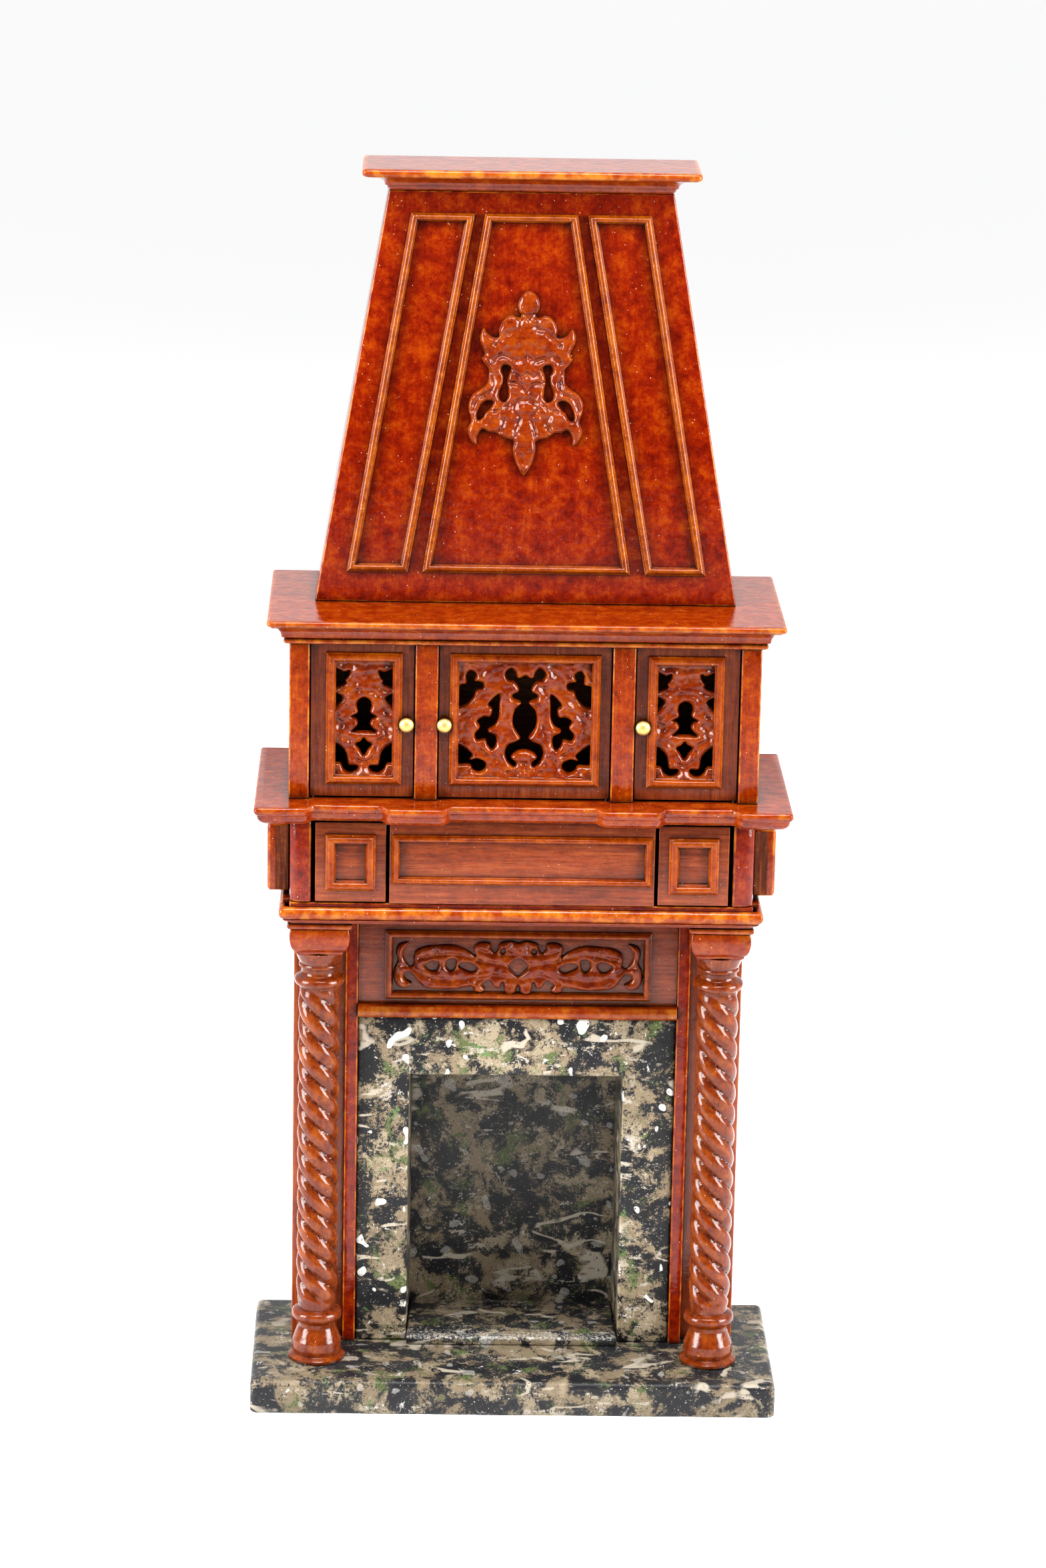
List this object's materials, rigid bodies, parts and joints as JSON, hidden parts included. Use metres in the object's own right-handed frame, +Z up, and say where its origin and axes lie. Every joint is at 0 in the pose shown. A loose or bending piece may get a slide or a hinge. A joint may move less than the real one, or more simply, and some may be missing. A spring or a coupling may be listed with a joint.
{
  "type": "miniature fireplace mantel",
  "caption": "Dolls house chimneypiece: marbled firebox between rope-twist columns, drawer band, mantel shelf, cupboard with pierced doors and a tapering panelled hood",
  "frame": {"origin": "centre of the footprint on the floor", "axes": "+Z up, front faces -Y, +X to the right as seen from the front"},
  "size_m": [0.105, 0.0454, 0.246],
  "materials": {
    "mahogany": "gloss red-brown mahogany varnish",
    "dark_mahogany": "satin dark brown mahogany varnish",
    "raw_wood": "thinly stained bare wood",
    "marbled_paint": "satin marbled paint, black ground with tan, green and cream veins",
    "brass": "polished"
  },
  "bodies": {
    "root": {"hearth_slab": "marbled_paint", "firebox_floor": "marbled_paint", "marble_surround": "marbled_paint", "firebox_liner": "marbled_paint", "firebox_back": "marbled_paint", "jamb_right": "dark_mahogany", "jamb_left": "dark_mahogany", "stile_right": "mahogany", "stile_left": "mahogany", "frieze_board": "dark_mahogany", "bead_rail": "mahogany", "frieze_frame": "mahogany", "frieze_carving": "mahogany", "column_right": "mahogany", "capital_block_right": "mahogany", "column_left": "mahogany", "capital_block_left": "mahogany", "lower_shelf_moulding": "dark_mahogany", "lower_shelf": "mahogany", "band_base_board": "mahogany", "band_carcase": "dark_mahogany", "band_post_right": "mahogany", "band_post_left": "mahogany", "band_centre_panel": "dark_mahogany", "centre_panel_frame": "mahogany", "side_plaque_right": "mahogany", "side_plaque_left": "mahogany", "mid_shelf": "mahogany", "mid_shelf_moulding": "mahogany", "cupboard_side_right": "mahogany", "cupboard_side_left": "mahogany", "inner_pilaster_right": "mahogany", "inner_pilaster_left": "mahogany", "cupboard_partition_right": "dark_mahogany", "cupboard_partition_left": "dark_mahogany", "cupboard_back": "dark_mahogany", "cupboard_top_moulding": "mahogany", "cupboard_top_slab": "mahogany", "hood_front": "mahogany", "hood_side_right": "mahogany", "hood_side_left": "mahogany", "hood_back": "raw_wood", "hood_panel_frame_right": "mahogany", "hood_panel_frame_left": "mahogany", "hood_panel_frame_centre": "mahogany", "hood_carving": "mahogany", "crown": "mahogany"},
    "drawer_left": {"drawer_left": "dark_mahogany", "drawer_frame_left": "mahogany"},
    "drawer_right": {"drawer_right": "dark_mahogany", "drawer_frame_right": "mahogany"},
    "door_left": {"door_left": "dark_mahogany", "door_frame_left": "mahogany", "knob_left": "brass"},
    "door_centre": {"door_centre": "dark_mahogany", "door_frame_centre": "mahogany", "knob_centre": "brass"},
    "door_right": {"door_right": "dark_mahogany", "door_frame_right": "mahogany", "knob_right": "brass"}
  },
  "joints": [
    {"name": "drawer_left_slide", "type": "slide", "parent": "root", "child": "drawer_left", "axis": [0, -1, 0], "range_m": [0, 0.013]},
    {"name": "drawer_right_slide", "type": "slide", "parent": "root", "child": "drawer_right", "axis": [0, -1, 0], "range_m": [0, 0.013]},
    {"name": "door_left_hinge", "type": "hinge", "parent": "root", "child": "door_left", "pos_m": [-0.0411, -0.0139, 0.1414], "axis": [0, 0, -1], "range_deg": [0, 100]},
    {"name": "door_centre_hinge", "type": "hinge", "parent": "root", "child": "door_centre", "pos_m": [0.0162, -0.0139, 0.1414], "axis": [0, 0, 1], "range_deg": [0, 80]},
    {"name": "door_right_hinge", "type": "hinge", "parent": "root", "child": "door_right", "pos_m": [0.0411, -0.0139, 0.1414], "axis": [0, 0, 1], "range_deg": [0, 100]}
  ]
}
